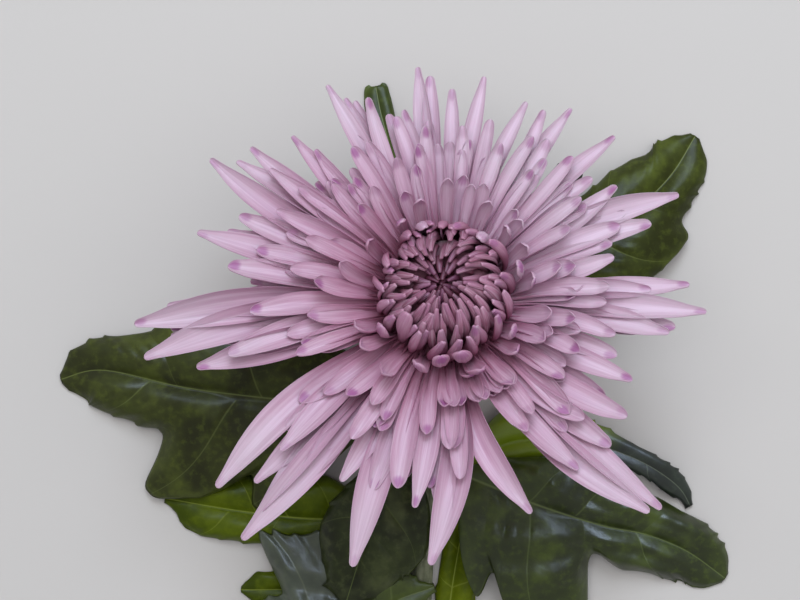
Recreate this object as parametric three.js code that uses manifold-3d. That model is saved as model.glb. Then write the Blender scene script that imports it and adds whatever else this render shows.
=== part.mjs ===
// A cut spider chrysanthemum, lying on its stem with the bloom turned up. Millimetres, +Z up.
// The stem runs along -Y, and the bloom stands over the origin of the layout.
import * as THREE from 'three';
import { mergeVertices } from 'three/addons/utils/BufferGeometryUtils.js';
import Module from 'manifold-3d';

const wasm = await Module();
wasm.setup();

// ---- driving dimensions ------------------------------------------------------------------------

const EYE = 555; // plan places are those seen from this far above the bloom's middle
const HEAD_HEIGHT = 48; // the bloom's middle above the surface
const HEAD_TILT = THREE.MathUtils.degToRad(15); // the bloom leans towards +Y
const GAP = 0.3; // clearance between neighbouring pieces

const STEM_RADIUS = 2.7;
const STEM_SIDES = 10;
const LEAF_THICKNESS = 0.8;
const STALK_THICKNESS = 1.8;
const RAY_THICKNESS = 1.1;
const FINGER_THICKNESS = 1.2;
const BUTTON_RADIUS = 15.4; // of the round space that the button fills among the other florets
const NEST_SHIFT = [-1, -0.9]; // how far the middle of the button lies beside the bloom's axis
const NEST_REACH = 18; // the shift fades out towards this radius

// Heights along the bloom's own axis, measured from its middle.
const CUP_FOOT = -18.5;
const BOWL_FOOT = -15.5;

// Each ray floret's tip: azimuth in degrees, reach, and the sideways bow of its length.
const RAYS = [
  [1, 61, 0], [1, 41, 1], [11, 43, -1], [12, 30.5, 0], [17.5, 54, 1], [18, 22, 0], [22, 63, 3],
  [26.5, 35, 0], [31, 50, -2], [34, 41, 0], [37, 46, 1], [42, 27.5, 0], [42, 57, 0], [45.5, 24.5, 0],
  [46, 46, -1], [53.5, 37, 0], [55, 18.5, 0], [55, 55, 1], [60, 44, 0], [61, 51, -1], [66.5, 51, 1],
  [69, 39, 0], [70, 29.5, 0], [75, 44, 0], [79.5, 54, 1], [80.5, 38, 0], [84, 41, -1], [88, 50, 0],
  [88.5, 29, 0], [94, 53.5, 0], [97, 56, 1], [97, 41, 0], [101, 36.5, 0], [103, 46, -1], [106, 45, 0],
  [108, 19.5, 0], [110.5, 35, 0], [112, 51.5, 1], [117.5, 54, 0], [118, 41.5, -1], [120, 59, 0],
  [123, 42.5, 0], [123.5, 23, 0], [129, 36, 0], [133, 47.5, 1], [135, 54, 0], [135.5, 31, 0],
  [137, 38.5, 0], [144, 60, 1], [145.5, 53, 0], [147, 25, 0], [148.5, 61, 0], [151, 67, 4],
  [155, 46.5, 0], [160.5, 54.5, 1], [160, 37, 0], [165.5, 28.5, 0], [167, 63.5, 1], [172.5, 39, 0],
  [174, 54.5, 0], [176, 33, 0], [183.5, 69.5, 0], [186.5, 78, -2], [186.5, 49, 0], [190.5, 35, 0],
  [193, 77, -4], [196, 41, 0], [197, 56.5, -1], [197.5, 65, 0], [202, 26, 0], [203.5, 40.5, 0],
  [213.5, 27, 0], [221, 75.5, -4], [221.5, 53, 0], [224.5, 57.5, 0], [227, 36, 0], [231, 80.5, 1],
  [233.5, 27.5, 0], [238, 44, 0], [241.5, 54.5, 0], [245, 36, 0], [248.5, 22, 0], [251.5, 73, -1],
  [256.5, 51, 0], [262, 55, 0], [266, 19, 0], [267, 69, 5], [269.5, 30, 0], [271.5, 40, 0],
  [274.5, 47.5, 1], [287, 30, 0], [291, 60, -5], [294.5, 24, 0], [300, 41, -2], [305, 38, 0],
  [306.5, 56, -4], [307, 30, 0], [312.5, 75.5, -6], [314.5, 77, -4], [316.5, 57, -3], [317, 47.5, -2],
  [320, 25.5, 0], [323.5, 37, 0], [325, 55.5, -4], [329, 22, 0], [333, 29, 0], [334, 52, -1],
  [335, 37, 0], [339, 46, 0], [345, 44, 0], [347.5, 33.5, 0], [348.5, 28.5, 0], [349, 57, 0],
  [355, 65.5, 0],
];

// Rows of incurved florets from the button's rim inward: how many, the places [radius, height] of a
// floret's root, of its bulge half way and of its tip, and its width. The first row belongs to the rays.
const FINGER_ROWS = [
  [17, [16, -6.2], [17.4, 3.4], [13.2, 11.4], 3.4],
  [20, [11.8, -4.4], [14.2, 4.6], [9.8, 11.4], 2.4],
  [18, [9.8, -1], [12.2, 6.6], [7.4, 12.4], 2.1],
  [15, [7.8, 2], [10, 8], [4.9, 12.1], 1.9],
  [10, [5.4, 4], [7.2, 8.7], [2.8, 11.1], 1.7],
  [6, [2.8, 5], [4, 8.1], [1.2, 9.8], 1.4],
];

// Each leaf: `rib` holds places [x, y, z] on its midrib from stalk to tip, and `blade` holds rows of
// [share of the rib's length, reach of the left side, reach of the right side], seen from above with
// the tip ahead. `fall` is how much each side drops per millimetre of its reach.
const LEAVES = {
  leaf_west: {
    rib: [[-1, -31, 6.4], [-15, -29.5, 10.5], [-39.5, -27.5, 9.5], [-64, -24.5, 7], [-87, -20, 2.5],
      [-96, -22.3, 0.5]],
    blade: [[0, 1.3, 1.3], [0.1, 1.5, 1.5], [0.17, 10, 12], [0.24, 28, 23], [0.31, 33.5, 22],
      [0.352, 24.5, 20.5], [0.39, 31, 23.5], [0.46, 36.3, 26], [0.516, 37, 25.2], [0.544, 33.8, 24.3],
      [0.566, 25.9, 23.5], [0.6, 17.4, 21.5], [0.65, 16.4, 18.4], [0.7, 16.1, 16], [0.75, 16.2, 14],
      [0.83, 12.8, 10.8], [0.905, 9.3, 7.2], [1, 0.8, 0.8]],
    fall: [0.08, 0.02], color: 0x2e3a1e,
  },
  leaf_southwest: {
    rib: [[-5, -57, 3.2], [-16, -57, 4], [-35, -57, 3], [-52, -55, 2.2], [-70, -52, 0.6]],
    blade: [[0, 1.3, 1.3], [0.16, 1.5, 1.5], [0.24, 6, 10], [0.34, 7, 14], [0.42, 7.6, 12],
      [0.52, 9.7, 13], [0.64, 11, 13], [0.74, 11.4, 11], [0.81, 9.4, 9.5], [0.92, 4.6, 6.5],
      [1, 0.8, 0.8]],
    fall: [0.02, 0.02], color: 0x496016,
  },
  leaf_south: {
    rib: [[-5, -38, 5], [-10, -44, 11], [-14, -50, 13], [-18.5, -58, 13.5], [-21, -66, 12.5],
      [-25, -79, 10]],
    blade: [[0, 1.3, 1.3], [0.1, 1.5, 1.5], [0.19, 12.8, 8], [0.28, 17, 10.4], [0.4, 17.7, 13.2],
      [0.5, 16.2, 14.2], [0.61, 14.4, 12.8], [0.76, 11, 10], [0.9, 6.2, 6.6], [1, 0.8, 0.8]],
    fall: [0, 0.04], color: 0x2e2f24,
  },
  leaf_southeast: {
    rib: [[0, -44, 4.3], [6, -46.7, 8], [14, -50, 9.3], [24, -54, 8.8], [40, -59, 6.8], [50, -61, 5],
      [60, -65, 3], [70, -72, 0.5]],
    blade: [[0, 1.3, 1.3], [0.06, 1.5, 8], [0.1, 7, 30], [0.165, 11, 24], [0.22, 14, 38], [0.3, 16, 38],
      [0.4, 14.4, 34], [0.424, 14.8, 24.4], [0.452, 15, 14.6], [0.56, 14, 13.1], [0.66, 12, 14.3],
      [0.78, 11.2, 11.6], [0.87, 7.8, 8], [0.94, 4.8, 5], [1, 1.6, 1.6]],
    fall: [0.05, 0.12], color: 0x363d22,
  },
  leaf_east: {
    rib: [[-1, -53, 3.3], [3, -47, 3.6], [10, -41, 4.4], [18, -38, 4.6], [34, -38, 5], [46, -41.5, 5],
      [54, -45.8, 4], [59, -50, 2], [61.3, -54, 0.5]],
    blade: [[0, 1, 1], [0.17, 1.2, 1.2], [0.24, 6, 5], [0.34, 8, 6], [0.44, 6, 4.5], [0.56, 6, 5],
      [0.68, 4.6, 4.6], [0.78, 4.4, 4.6], [0.88, 3.4, 3.8], [1, 0.8, 0.8]],
    fall: [0, 0], color: 0x5a6a3a,
  },
  leaf_northeast: {
    rib: [[-1.2, -21, 10.4], [8, -12, 14.5], [20, -3, 13.5], [38, 12, 10], [51, 23, 5.5], [57, 29.5, 3],
      [62.5, 38.5, 0.5]],
    blade: [[0, 1.3, 1.3], [0.12, 1.5, 1.5], [0.18, 7, 10], [0.26, 10, 18], [0.33, 8, 15],
      [0.42, 12, 20], [0.5, 15, 21], [0.57, 15, 21.2], [0.63, 16, 20.2], [0.67, 15.5, 18.5],
      [0.7, 15, 14.7], [0.77, 12.5, 12.3], [0.84, 10.5, 9.6], [0.92, 6.4, 6.6], [1, 1.2, 1.2]],
    fall: [0.04, 0.06], color: 0x3d4526,
  },
  leaf_north: {
    rib: [[-1, -13, 15.6], [-6, 2, 16], [-9.5, 15, 11.5], [-13.6, 35, 4.5], [-16.2, 45, 1.6],
      [-17.3, 51, 0.5]],
    blade: [[0, 1.3, 1.3], [0.2, 1.5, 1.5], [0.32, 3.8, 3.4], [0.5, 5.4, 4.6], [0.62, 4.8, 4.2],
      [0.78, 5.4, 4.8], [0.9, 5.6, 5.4], [0.96, 4.2, 4.2], [1, 0.9, 0.9]],
    fall: [0.2, 0.1], color: 0x45502c,
  },
  leaf_north_tall: {
    rib: [[0, -12, 16.6], [2, 2, 21], [3.5, 15, 20], [6, 35, 17]],
    blade: [[0, 1.3, 1.3], [0.26, 1.5, 1.5], [0.38, 7, 6], [0.5, 8.5, 8], [0.6, 6, 6.5], [0.72, 8.5, 8],
      [0.84, 8, 7.5], [0.93, 4, 4], [1, 0.8, 0.8]],
    fall: [0.05, 0.05], color: 0x5b653b,
  },
  leaf_northeast_small: {
    rib: [[1, -15, 14.3], [8, -3, 18.5], [20, 12, 18.5], [34, 33, 16]],
    blade: [[0, 1.3, 1.3], [0.28, 1.4, 1.4], [0.4, 5, 5], [0.52, 7, 6.5], [0.62, 5, 5], [0.74, 6.5, 6],
      [0.86, 5, 4.5], [1, 0.8, 0.8]],
    fall: [0.03, 0.03], color: 0x4b5530,
  },
  leaf_northwest: {
    rib: [[-1.5, -17, 12.8], [-8, -6, 17.5], [-20, 8, 17], [-37, 26, 14]],
    blade: [[0, 1.3, 1.3], [0.22, 1.4, 1.4], [0.34, 6, 5], [0.48, 8, 7], [0.58, 6, 5.5], [0.7, 8, 7],
      [0.84, 6, 5.5], [1, 0.8, 0.8]],
    fall: [0.04, 0.04], color: 0x4b5a1e,
  },
  leaf_lower_west: {
    rib: [[-9, -100, 2.7], [-16, -93.5, 3.4], [-27, -87, 6], [-39, -84, 6], [-53, -87, 0.6]],
    blade: [[0, 1.3, 1.3], [0.14, 1.5, 1.5], [0.22, 8, 14], [0.32, 12, 26], [0.43, 13, 30.2],
      [0.51, 12, 28.6], [0.585, 13.5, 27.5], [0.628, 13.8, 25.8], [0.655, 13, 16], [0.74, 10.2, 11.4],
      [0.88, 6.8, 7], [1, 0.8, 0.8]],
    fall: [0.12, 0.04], color: 0x42484a,
  },
  leaf_lower_west_small: {
    rib: [[-9, -90, 2.2], [-18, -82, 0.9], [-33, -75.5, 0.6], [-51, -74.8, 0.5]],
    blade: [[0, 0.9, 0.9], [0.2, 1.2, 1.2], [0.34, 5, 5], [0.5, 8, 7], [0.62, 6, 5.5], [0.76, 6, 6.5],
      [0.9, 4, 4.5], [1, 0.8, 0.8]],
    fall: [0, 0], color: 0x55701a,
  },
  leaf_lower_curled: {
    rib: [[-9.5, -108, 2.7], [-14.5, -99, 6.6], [-19, -89, 8.6], [-14, -79, 8.8], [-2.5, -74, 8]],
    blade: [[0, 1.3, 1.3], [0.2, 1.5, 1.5], [0.34, 5, 4], [0.5, 6.5, 6.5], [0.64, 7, 7],
      [0.75, 9.8, 5.8], [0.84, 5.8, 4.6], [0.93, 2.6, 2.6], [1, 0.7, 0.7]],
    fall: [0, 0], color: 0x353c33,
  },
  leaf_lower_east: {
    rib: [[-6, -110, 1.6], [-0.5, -99, 1], [1, -80, 0.8], [3.5, -64, 0.7], [6, -52, 0.6]],
    blade: [[0, 0.9, 0.9], [0.14, 1.2, 1.2], [0.26, 4.4, 9], [0.4, 5.4, 11.5], [0.5, 4.8, 8.5],
      [0.62, 5.4, 10], [0.78, 5.4, 7], [0.9, 3.6, 4.4], [1, 0.8, 0.8]],
    fall: [0, 0], color: 0x46510d,
  },
};

// The stem's middle line from the cut end to the neck, in plan places and heights.
const STEM_ROUTE = [
  [-14, -230, STEM_RADIUS], [-10, -150, STEM_RADIUS], [-6.5, -85, STEM_RADIUS], [-4.6, -55, 3.3],
  [-3, -34, 6.2], [-1.5, -19, 11.8], [-0.4, -9.5, 20],
];

// ---- small helpers -----------------------------------------------------------------------------

// A repeatable draw from 0 to 1 for the item `n` and the purpose `k`.
function draw(n, k) {
  const value = Math.sin(n * 12.9898 + k * 78.233) * 43758.5453;
  return value - Math.floor(value);
}

function mix(a, b, share) {
  return a + (b - a) * share;
}

function ease(low, high, value) {
  return THREE.MathUtils.smoothstep(value, low, high);
}

// The place at height z that lies under [x, y] on the bloom's level when seen from the eye.
function seen([x, y, z]) {
  const spread = (EYE + HEAD_HEIGHT - z) / EYE;
  return new THREE.Vector3(x * spread, y * spread, z);
}

// Reads [share, a, b] rows at a share of the length.
function rowsAt(rows, share) {
  let k = 1;
  while (k < rows.length - 1 && rows[k][0] < share) k += 1;
  const [low, high] = [rows[k - 1], rows[k]];
  const part = (share - low[0]) / (high[0] - low[0]);
  return [mix(low[1], high[1], part), mix(low[2], high[2], part)];
}

// ---- closed meshes and solids ------------------------------------------------------------------

function meshOf(points, triangles) {
  const geometry = new THREE.BufferGeometry().setFromPoints(points);
  geometry.setIndex(triangles.flat());
  return geometry;
}

// A closed body through rings of points, which run the right-hand way round the direction of travel.
// Its quads are split away from the even corners, alike on both faces of a flat section.
function loft(rings, tip) {
  const corners = rings[0].length;
  const points = rings.flat();
  const triangles = [];
  for (let k = 0; k + 1 < rings.length; k += 1) {
    for (let j = 0; j < corners; j += 1) {
      const a = k * corners + j;
      const b = k * corners + ((j + 1) % corners);
      const [c, d] = [a + corners, b + corners];
      if (j % 2) triangles.push([a, b, c], [b, d, c]);
      else triangles.push([a, b, d], [a, d, c]);
    }
  }
  for (let j = 2; j < corners; j += 1) triangles.push([1, j % corners, (j + 1) % corners].reverse());
  const last = (rings.length - 1) * corners;
  if (tip) {
    points.push(tip);
    for (let j = 0; j < corners; j += 1) {
      triangles.push([last + j, last + ((j + 1) % corners), points.length - 1]);
    }
  } else {
    for (let j = 2; j < corners; j += 1) {
      triangles.push([last + 1, last + (j % corners), last + ((j + 1) % corners)]);
    }
  }
  return meshOf(points, triangles);
}

// A closed thin body between the rows of points `upper` and `lower`, split alike on both faces.
function sheet(upper, lower) {
  const [rows, columns] = [upper.length, upper[0].length];
  const under = rows * columns;
  const place = (r, c) => r * columns + c;
  const triangles = [];
  for (let r = 0; r + 1 < rows; r += 1) {
    for (let c = 0; c + 1 < columns; c += 1) {
      const [a, b, d, e] = [place(r, c), place(r, c + 1), place(r + 1, c), place(r + 1, c + 1)];
      const split = c * 2 < columns - 1 ? [[a, b, e], [a, e, d]] : [[a, b, d], [b, e, d]];
      for (const [p, q, s] of split) triangles.push([p, q, s], [p + under, s + under, q + under]);
    }
  }
  const rim = [];
  for (let c = 0; c < columns - 1; c += 1) rim.push(place(0, c));
  for (let r = 0; r < rows - 1; r += 1) rim.push(place(r, columns - 1));
  for (let c = columns - 1; c > 0; c -= 1) rim.push(place(rows - 1, c));
  for (let r = rows - 1; r > 0; r -= 1) rim.push(place(r, 0));
  rim.forEach((p, k) => {
    const q = rim[(k + 1) % rim.length];
    triangles.push([p, p + under, q], [q, p + under, q + under]);
  });
  return meshOf([...upper.flat(), ...lower.flat()], triangles);
}

// A body of revolution about +Z from a profile of [radius, height] that starts and ends on the axis.
function turned(profile, sides) {
  const outline = profile.map(([radius, height]) => new THREE.Vector2(radius, height));
  return new THREE.LatheGeometry(outline, sides).rotateX(Math.PI / 2);
}

function solidOf(source) {
  const geometry = source.clone();
  geometry.deleteAttribute('normal');
  geometry.deleteAttribute('uv');
  const merged = mergeVertices(geometry, 1e-4);
  const index = Array.from(merged.index.array);
  const kept = [];
  for (let k = 0; k < index.length; k += 3) {
    const [a, b, c] = index.slice(k, k + 3);
    if (a !== b && b !== c && c !== a) kept.push(a, b, c);
  }
  const vertProperties = Float32Array.from(merged.attributes.position.array);
  const build = (order) => new wasm.Manifold(
    new wasm.Mesh({ numProp: 3, vertProperties, triVerts: Uint32Array.from(order) }),
  );
  const solid = build(kept);
  return solid.volume() > 0 ? solid : build(kept.reverse());
}

// The largest connected body, so that no loose scrap or sealed hollow is left.
function largest(solid) {
  const bodies = solid.decompose();
  return bodies.reduce((best, body) => (body.volume() > best.volume() ? body : best));
}

function geometryOf(solid) {
  const { vertProperties, triVerts } = solid.getMesh();
  const geometry = new THREE.BufferGeometry();
  geometry.setAttribute('position', new THREE.BufferAttribute(vertProperties, 3));
  geometry.setIndex(new THREE.BufferAttribute(triVerts, 1));
  geometry.computeVertexNormals();
  return geometry;
}

function named(name, solid, color, roughness) {
  const material = new THREE.MeshStandardMaterial({ color, roughness, metalness: 0, flatShading: true });
  const mesh = new THREE.Mesh(geometryOf(solid), material);
  mesh.name = name;
  return mesh;
}

// ---- florets -----------------------------------------------------------------------------------

// A floret from stations along its length. Each has its middle `at`, unit vectors `side` and `face`,
// a width, the height `curl` of its edges over the middle, and a thickness.
function floret(stations, tip) {
  const rings = stations.map(({ at, side, face, width, curl, thickness }) => {
    const edge = (sign) => at.clone().addScaledVector(side, (sign * width) / 2).addScaledVector(face, curl);
    const middle = (sign) => at.clone().addScaledVector(face, (sign * thickness) / 2);
    return [edge(-1), middle(-1), edge(1), middle(1)];
  });
  return solidOf(loft(rings, tip));
}

// Unit vectors across and out of a floret that travels along `ahead`, with `level` its untwisted side.
function across(ahead, level, twist) {
  const side = level.clone().addScaledVector(ahead, -level.dot(ahead)).normalize();
  side.applyAxisAngle(ahead, twist);
  return { side, face: ahead.clone().cross(side).normalize() };
}

// The tip of a ray floret in the bloom's own frame, from its place in plan.
function rayTip(index, azimuth, reach) {
  const phi = THREE.MathUtils.degToRad(azimuth);
  const height = 14 * Math.exp((18 - reach) / 22) - reach / 35 + mix(-1.8, 1.8, draw(index, 1));
  const rise = height * Math.cos(HEAD_TILT) - reach * Math.sin(phi) * Math.sin(HEAD_TILT);
  const spread = (EYE - rise) / EYE;
  const x = reach * Math.cos(phi) * spread;
  const y = (reach * Math.sin(phi) * spread - height * Math.sin(HEAD_TILT)) / Math.cos(HEAD_TILT);
  return { turn: Math.atan2(y, x), length: Math.hypot(x, y), height };
}

// The middle line of a ray floret, as a function of the share of its length.
function rayLine(index, [azimuth, reach, bow]) {
  const { turn, length, height } = rayTip(index, azimuth, reach);
  const outer = ease(18, 70, reach);
  const hook = 1 - ease(20, 36, reach);
  const arch = mix(-1.5, 0.06 * reach, ease(18, 45, reach));
  const root = { radius: mix(15.8, 11, outer), height: mix(-6.2, -9.8, outer) };
  const out = new THREE.Vector3(Math.cos(turn), Math.sin(turn), 0);
  const level = new THREE.Vector3(-Math.sin(turn), Math.cos(turn), 0);
  const swing = bow + mix(-1, 1, draw(index, 2));
  const at = (share) => {
    const bent = hook * Math.max(2 * share - 1, 0) ** 2;
    const radius = mix(root.radius, length + hook, share) - 4 * bent;
    const rise = mix(root.height, height + 1.8 * hook, share) + arch * 4 * share * (1 - share) - 3.4 * bent;
    return out.clone().multiplyScalar(radius)
      .addScaledVector(level, swing * Math.sin(Math.PI * share))
      .setZ(rise);
  };
  return { at, level };
}

// Shares of the length with the width of a long ray floret and of a short one there, as shares of the
// full width, and the height of the edges over the middle, as a share of the width.
const RAY_PROFILE = [
  [0, 0.42, 0.48, 0.1], [0.38, 0.74, 0.76, 0.24], [0.66, 1, 1, 0.2], [0.88, 0.6, 0.8, 0.26],
];

// The shortest ray florets do without the second row.
function rayFloret(row, index) {
  const { at, level } = rayLine(index, row);
  const far = Math.sin(THREE.MathUtils.degToRad(row[0])); // 1 on the side away from the stem
  const width = mix(4.5, 8, ease(30, 80, row[1])) * mix(1, 0.76, ease(0.1, 0.8, far))
    * mix(0.9, 1.1, draw(index, 3));
  const slender = ease(38, 62, row[1] + mix(-8, 8, draw(index, 10)));
  const twist = mix(-0.25, 0.25, draw(index, 4));
  const profile = RAY_PROFILE.filter((_, k) => k !== 1 || row[1] > 42);
  const stations = profile.map(([share, long, short, curl]) => {
    const ahead = at(share + 0.01).sub(at(share - 0.01)).normalize();
    const breadth = width * mix(short, long, slender);
    return {
      at: at(share), ...across(ahead, level, twist * share),
      width: breadth, curl: breadth * curl + 0.35, thickness: RAY_THICKNESS,
    };
  });
  return floret(stations, at(1));
}

// Shares of the length with an incurved floret's width there. The narrowest do without the second row.
const FINGER_PROFILE = [[0, 0.6], [0.45, 1], [0.86, 0.86]];

// An incurved floret: up from its root, out over its bulge, then in towards the axis.
function finger(index, turn, [, rootPlace, bulgePlace, tipPlace, width]) {
  const [inward, down] = [mix(-1.1, 0.7, draw(index, 23)), mix(-1.2, 0.5, draw(index, 24))];
  const root = new THREE.Vector2(...rootPlace);
  const tip = new THREE.Vector2(tipPlace[0] + inward, tipPlace[1] + down);
  const bulge = new THREE.Vector2(bulgePlace[0] + inward / 2, bulgePlace[1] + down / 2);
  const control = bulge.multiplyScalar(2).addScaledVector(root, -0.5).addScaledVector(tip, -0.5);
  const swirl = mix(-0.08, 0.24, draw(index, 21));
  const at = (share) => {
    const place = root.clone().multiplyScalar((1 - share) ** 2)
      .addScaledVector(control, 2 * share * (1 - share))
      .addScaledVector(tip, share ** 2);
    const bearing = turn + swirl * share ** 2;
    const [x, y] = NEST_SHIFT.map((shift) => shift * (1 - place.x / NEST_REACH));
    return new THREE.Vector3(place.x * Math.cos(bearing) + x, place.x * Math.sin(bearing) + y, place.y);
  };
  const level = new THREE.Vector3(-Math.sin(turn), Math.cos(turn), 0);
  const fullWidth = width * mix(0.88, 1.12, draw(index, 27));
  const profile = FINGER_PROFILE.filter((_, k) => k !== 1 || width >= 2);
  const stations = profile.map(([share, breadth]) => {
    const ahead = at(share + 0.01).sub(at(share - 0.01)).normalize();
    return {
      at: at(share), ...across(ahead, level, mix(-0.3, 0.3, draw(index, 26))),
      width: fullWidth * breadth, curl: 0.2 * fullWidth * breadth + 0.3, thickness: FINGER_THICKNESS,
    };
  });
  return floret(stations, at(1));
}

// The florets of one row of FINGER_ROWS. For their draws they are numbered through all the rows, from
// 301, which is past the ray florets.
function fingers(row) {
  const before = FINGER_ROWS.slice(0, row).reduce((sum, [count]) => sum + count, 0);
  const [count] = FINGER_ROWS[row];
  return Array.from({ length: count }, (_, k) => {
    const index = 301 + before + k;
    const turn = ((k + 0.5 * (row % 2) + mix(-0.14, 0.14, draw(index, 22))) / count) * Math.PI * 2;
    return finger(index, turn, FINGER_ROWS[row]);
  });
}

// ---- the bloom ---------------------------------------------------------------------------------

// The rounded body that parts the button from the florets round it, grown by `extra`.
function buttonShape(extra) {
  const radius = BUTTON_RADIUS + extra;
  const steps = 5;
  const top = Array.from({ length: steps + 1 }, (_, k) => {
    const angle = (k / steps) * (Math.PI / 2);
    return [k === steps ? 0 : radius * Math.cos(angle), radius * Math.sin(angle)];
  });
  return solidOf(turned([[0, -5.6 - extra], [10, -5.2 - extra], [14 + extra, -3.4 - extra], ...top], 20));
}

// The button: a core with rows of incurved florets, lower in its middle than half way out.
function crown() {
  const core = solidOf(turned([
    [0, -5.2], [10, -4.9], [12.4, -3.8], [10.9, -1], [8.8, 2], [6.5, 4.4], [3.6, 6], [0, 6.6],
  ], 20));
  const florets = [1, 2, 3, 4, 5].flatMap(fingers);
  return largest(wasm.Manifold.union([core, ...florets]).intersect(buttonShape(0)).simplify(0.02));
}

// The ray florets on the bowl that they grow from, with the outermost row of incurved florets.
function rays() {
  const bowl = solidOf(turned([
    [0, BOWL_FOOT], [7, BOWL_FOOT + 0.6], [11.8, -12.4], [14.2, -9.2], [17.8, -7.6], [17.6, -5.4],
    [0, -4.6],
  ], 20));
  const florets = [...RAYS.map(rayFloret), ...fingers(0)];
  return largest(wasm.Manifold.union([bowl, ...florets]).subtract(buttonShape(GAP)).simplify(0.02));
}

// The green cup under the bloom, with two rows of pointed bracts.
function involucre() {
  const cup = solidOf(turned([
    [0, CUP_FOOT], [4, CUP_FOOT + 0.2], [9.5, -17], [14, -13.6], [15.9, -10.8], [15, -10.3], [12.2, -12.8],
    [7.2, BOWL_FOOT + 0.2], [0, BOWL_FOOT - GAP],
  ], 20));
  const bracts = [];
  [[10, 0, 15.4], [10, 0.5, 12.4]].forEach(([count, shift, reach]) => {
    for (let k = 0; k < count; k += 1) {
      const turn = ((k + shift) / count) * Math.PI * 2;
      const out = new THREE.Vector3(Math.cos(turn), Math.sin(turn), 0);
      const side = new THREE.Vector3(-Math.sin(turn), Math.cos(turn), 0);
      const face = new THREE.Vector3(0, 0, -1).addScaledVector(out, 1).normalize();
      const foot = out.clone().multiplyScalar(reach * 0.55).setZ(-16.2 + reach * 0.06);
      const mid = out.clone().multiplyScalar(reach * 0.92).setZ(-27.2 + reach * 0.92);
      const tip = out.clone().multiplyScalar(reach + 2.1).setZ(-26 + reach);
      const station = (at, width) => ({ at, side, face, width, curl: -0.3, thickness: 1.4 });
      bracts.push(floret([station(foot, 4), station(mid, 4.4)], tip));
    }
  });
  return largest(wasm.Manifold.union([cup, ...bracts]).simplify(0.02));
}

// ---- stem and leaves ---------------------------------------------------------------------------

// The neck meets the cup square on, so the last two places lie on the bloom's own axis.
function stemCurve() {
  const onAxis = (height) => new THREE.Vector3(
    0, height * Math.sin(HEAD_TILT), HEAD_HEIGHT + height * Math.cos(HEAD_TILT),
  );
  const route = STEM_ROUTE.map(seen);
  route.push(onAxis(CUP_FOOT - 4), onAxis(CUP_FOOT - GAP));
  return new THREE.CatmullRomCurve3(route);
}

// The stem, grown by `extra`. A flat side of its section faces down, so that it lies still.
function stem(extra) {
  const curve = stemCurve();
  const steps = 22;
  const rings = Array.from({ length: steps + 1 }, (_, k) => {
    const share = 1 - (1 - k / steps) ** 1.3;
    const at = curve.getPointAt(share);
    const ahead = curve.getTangentAt(share);
    at.z = Math.max(at.z, STEM_RADIUS);
    const side = new THREE.Vector3(1, 0, 0).addScaledVector(ahead, -ahead.x).normalize();
    const face = side.clone().cross(ahead).normalize();
    const radius = (STEM_RADIUS + extra) / Math.cos(Math.PI / STEM_SIDES);
    return Array.from({ length: STEM_SIDES }, (_, j) => {
      const angle = ((j + 0.5) / STEM_SIDES) * Math.PI * 2 + Math.PI / 2;
      return at.clone()
        .addScaledVector(side, radius * Math.cos(angle))
        .addScaledVector(face, radius * Math.sin(angle));
    });
  });
  return solidOf(loft(rings));
}

// A lobed leaf: its veins lead forward from the midrib, and the blade hangs between their ends.
function leaf({ rib, blade, fall }) {
  const curve = new THREE.CatmullRomCurve3(rib.map(seen));
  const up = new THREE.Vector3(0, 0, 1);
  const [upper, lower] = [[], []];
  for (const [share, left, right] of blade) {
    const at = curve.getPointAt(share);
    const ahead = curve.getTangentAt(share);
    const level = up.clone().cross(ahead).normalize();
    const sweep = THREE.MathUtils.degToRad(mix(70, 38, share));
    const thickness = mix(STALK_THICKNESS, LEAF_THICKNESS, ease(0, 0.3, share));
    const line = [-1, -0.55, 0, 0.55, 1].map((part) => {
      const [reach, drop] = part > 0 ? [left, fall[0]] : [right, fall[1]];
      const run = Math.abs(part) * reach;
      const place = at.clone()
        .addScaledVector(ahead, run * Math.cos(sweep))
        .addScaledVector(level, run * Math.sin(sweep) * Math.sign(part));
      place.z += 0.16 * run * (1 - Math.abs(part)) - drop * run;
      place.z = Math.max(place.z, thickness / 2);
      return place;
    });
    upper.push(line.map((place) => place.clone().addScaledVector(up, thickness / 2)));
    lower.push(line.map((place) => place.clone().addScaledVector(up, -thickness / 2)));
  }
  return solidOf(sheet(upper, lower));
}

// ---- the flower --------------------------------------------------------------------------------

const bloom = new THREE.Group();
bloom.position.z = HEAD_HEIGHT;
bloom.rotation.x = -HEAD_TILT;
bloom.add(named('ray_florets', rays(), 0xb798b4, 0.6));
bloom.add(named('crown_florets', crown(), 0x865f74, 0.65));
bloom.add(named('involucre', involucre(), 0x56693a, 0.7));

const flower = new THREE.Group();
flower.add(bloom);
flower.add(named('stem', stem(0), 0x6f7a54, 0.75));
const round = stem(GAP);
for (const [name, shape] of Object.entries(LEAVES)) {
  flower.add(named(name, largest(leaf(shape).subtract(round)), shape.color, 0.5));
}

// The origin is the middle of the flower's box, on the surface that it lies on.
const box = new THREE.Box3().setFromObject(flower, true);
flower.position.set(-(box.min.x + box.max.x) / 2, -(box.min.y + box.max.y) / 2, -box.min.z);

export default flower;
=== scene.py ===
"""Looks for a cut spider chrysanthemum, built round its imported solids.

Lengths are in millimetres until the vertices are written. Places are those of the layout in which the
solids were drawn: the bloom stands over its origin, the stem runs along -Y and +Z is up.
"""

import math

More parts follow.
